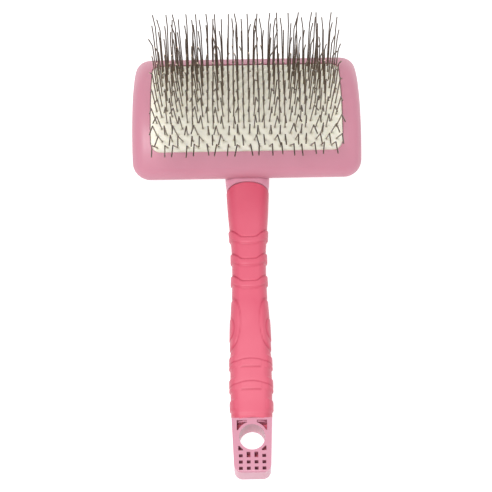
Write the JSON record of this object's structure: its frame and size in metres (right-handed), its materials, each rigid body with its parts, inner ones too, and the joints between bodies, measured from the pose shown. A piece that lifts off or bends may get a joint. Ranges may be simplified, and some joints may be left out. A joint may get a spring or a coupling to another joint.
{
  "type": "slicker brush",
  "caption": "Pet slicker brush with an arched head, bent wire pins in a cream rubber pad, and a coral rubber grip.",
  "frame": {"origin": "on the axis of the hang hole, in the plane the brush rests on", "axes": "+Y from the tail to the head, +Z the way the pins stand, +X across the head"},
  "size_m": [0.122, 0.2321, 0.0693],
  "materials": {
    "head_plastic": "satin",
    "core_plastic": "satin",
    "grip_rubber": "matte",
    "pad_rubber": "matte",
    "card_cloth": "matte",
    "foam": "matte",
    "pin_wire": "satin"
  },
  "bodies": {
    "root": {"front_frame": "head_plastic", "back_shell": "head_plastic", "handle_core": "core_plastic", "grip_sleeve": "grip_rubber", "pad_foam": "foam"},
    "pad": {"pin_pad": "pad_rubber", "pin_card": "card_cloth", "pin_row_01": "pin_wire", "pin_row_02": "pin_wire", "pin_row_03": "pin_wire", "pin_row_04": "pin_wire", "pin_row_05": "pin_wire", "pin_row_06": "pin_wire", "pin_row_07": "pin_wire", "pin_row_08": "pin_wire", "pin_row_09": "pin_wire", "pin_row_10": "pin_wire", "pin_row_11": "pin_wire", "pin_row_12": "pin_wire", "pin_row_13": "pin_wire", "pin_row_14": "pin_wire", "pin_row_15": "pin_wire", "pin_row_16": "pin_wire", "pin_row_17": "pin_wire"}
  },
  "joints": [
    {"name": "pad_press", "type": "slide", "parent": "root", "child": "pad", "axis": [0, 0, -1], "range_m": [0, 0.0015], "stiffness_N_per_m": 6000}
  ]
}
